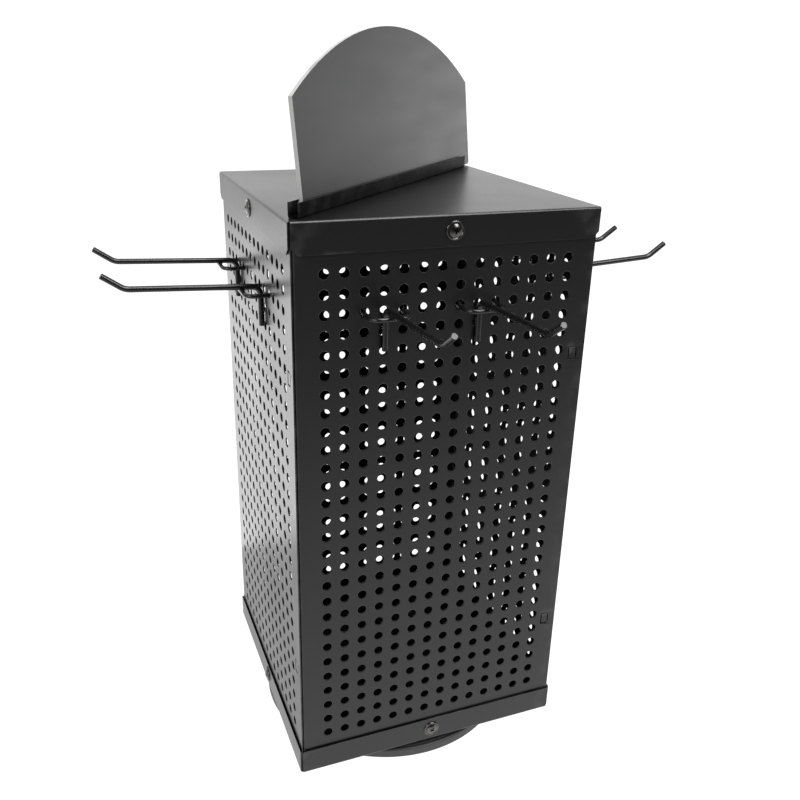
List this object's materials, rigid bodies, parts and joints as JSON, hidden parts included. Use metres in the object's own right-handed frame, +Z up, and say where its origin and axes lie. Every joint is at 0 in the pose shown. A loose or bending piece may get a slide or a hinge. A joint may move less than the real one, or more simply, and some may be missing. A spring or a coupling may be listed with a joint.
{
  "type": "rotating pegboard counter display",
  "caption": "Counter-top rotating display: square perforated steel tower on a round turntable base, with wire peg hooks and an arched sign in a slotted holder.",
  "frame": {"origin": "on the rotation axis, at the bottom of the rubber feet", "axes": "+Z up along the rotation axis; the front panel faces -Y; +X to the right seen from the front"},
  "size_m": [0.4086, 0.4086, 0.5281],
  "materials": {
    "powder_coat": "semi-gloss black powder coat, fine orange peel",
    "sign_board": "satin black plastic board",
    "hook_wire": "smooth gloss black coated wire",
    "black_nickel": "black nickel plated, bright",
    "zinc_steel": "bright zinc plated",
    "bearing_steel": "polished",
    "rubber": "matt black rubber"
  },
  "bodies": {
    "base": {"base_plate": "powder_coat", "base_feet": "rubber", "foot_screws": "zinc_steel", "base_screws": "zinc_steel", "bearing_lower_plate": "zinc_steel"},
    "ball_ring": {"bearing_balls": "bearing_steel", "bearing_retainer": "zinc_steel"},
    "tower": {"bearing_upper_plate": "zinc_steel", "tray_bearing_screws": "zinc_steel", "bottom_tray": "powder_coat", "panel_front": "powder_coat", "panel_right": "powder_coat", "panel_back": "powder_coat", "panel_left": "powder_coat", "top_cap": "powder_coat", "cap_screws": "black_nickel", "cap_nuts": "zinc_steel", "tray_screws": "black_nickel", "tray_nuts": "zinc_steel", "sign_holder": "powder_coat"},
    "sign": {"sign_panel": "sign_board"},
    "hook_front_a": {"hook_arm_front_a": "hook_wire", "hook_bracket_front_a": "hook_wire"},
    "hook_front_b": {"hook_arm_front_b": "hook_wire", "hook_bracket_front_b": "hook_wire"},
    "hook_right_a": {"hook_arm_right_a": "hook_wire", "hook_bracket_right_a": "hook_wire"},
    "hook_right_b": {"hook_arm_right_b": "hook_wire", "hook_bracket_right_b": "hook_wire"},
    "hook_back_a": {"hook_arm_back_a": "hook_wire", "hook_bracket_back_a": "hook_wire"},
    "hook_back_b": {"hook_arm_back_b": "hook_wire", "hook_bracket_back_b": "hook_wire"},
    "hook_left_a": {"hook_arm_left_a": "hook_wire", "hook_bracket_left_a": "hook_wire"},
    "hook_left_b": {"hook_arm_left_b": "hook_wire", "hook_bracket_left_b": "hook_wire"}
  },
  "joints": [
    {"name": "turntable", "type": "hinge", "parent": "base", "child": "tower", "pos_m": [0, 0, 0.0175], "axis": [0, 0, 1], "continuous": true},
    {"name": "ball_ring_spin", "type": "hinge", "parent": "base", "child": "ball_ring", "pos_m": [0, 0, 0.0135], "axis": [0, 0, 1], "continuous": true},
    {"name": "sign_lift", "type": "slide", "parent": "tower", "child": "sign", "axis": [-0.0705, 0.0724, 0.9949], "range_m": [0, 0.02]},
    {"name": "hook_tilt_front_a", "type": "hinge", "parent": "tower", "child": "hook_front_a", "pos_m": [-0.04445, -0.1015, 0.36395], "axis": [-1, 0, 0], "range_deg": [0, 20]},
    {"name": "hook_tilt_front_b", "type": "hinge", "parent": "tower", "child": "hook_front_b", "pos_m": [0.01905, -0.1015, 0.36395], "axis": [-1, 0, 0], "range_deg": [0, 20]},
    {"name": "hook_tilt_right_a", "type": "hinge", "parent": "tower", "child": "hook_right_a", "pos_m": [0.1015, -0.04445, 0.36395], "axis": [0, -1, 0], "range_deg": [0, 20]},
    {"name": "hook_tilt_right_b", "type": "hinge", "parent": "tower", "child": "hook_right_b", "pos_m": [0.1015, 0.01905, 0.36395], "axis": [0, -1, 0], "range_deg": [0, 20]},
    {"name": "hook_tilt_back_a", "type": "hinge", "parent": "tower", "child": "hook_back_a", "pos_m": [0.04445, 0.1015, 0.36395], "axis": [1, 0, 0], "range_deg": [0, 20]},
    {"name": "hook_tilt_back_b", "type": "hinge", "parent": "tower", "child": "hook_back_b", "pos_m": [-0.01905, 0.1015, 0.36395], "axis": [1, 0, 0], "range_deg": [0, 20]},
    {"name": "hook_tilt_left_a", "type": "hinge", "parent": "tower", "child": "hook_left_a", "pos_m": [-0.1015, 0.04445, 0.36395], "axis": [0, 1, 0], "range_deg": [0, 20]},
    {"name": "hook_tilt_left_b", "type": "hinge", "parent": "tower", "child": "hook_left_b", "pos_m": [-0.1015, -0.03175, 0.36395], "axis": [0, 1, 0], "range_deg": [0, 20]}
  ],
  "couplings": [
    {"joint": "ball_ring_spin", "follows": "turntable", "ratio": 0.5}
  ]
}
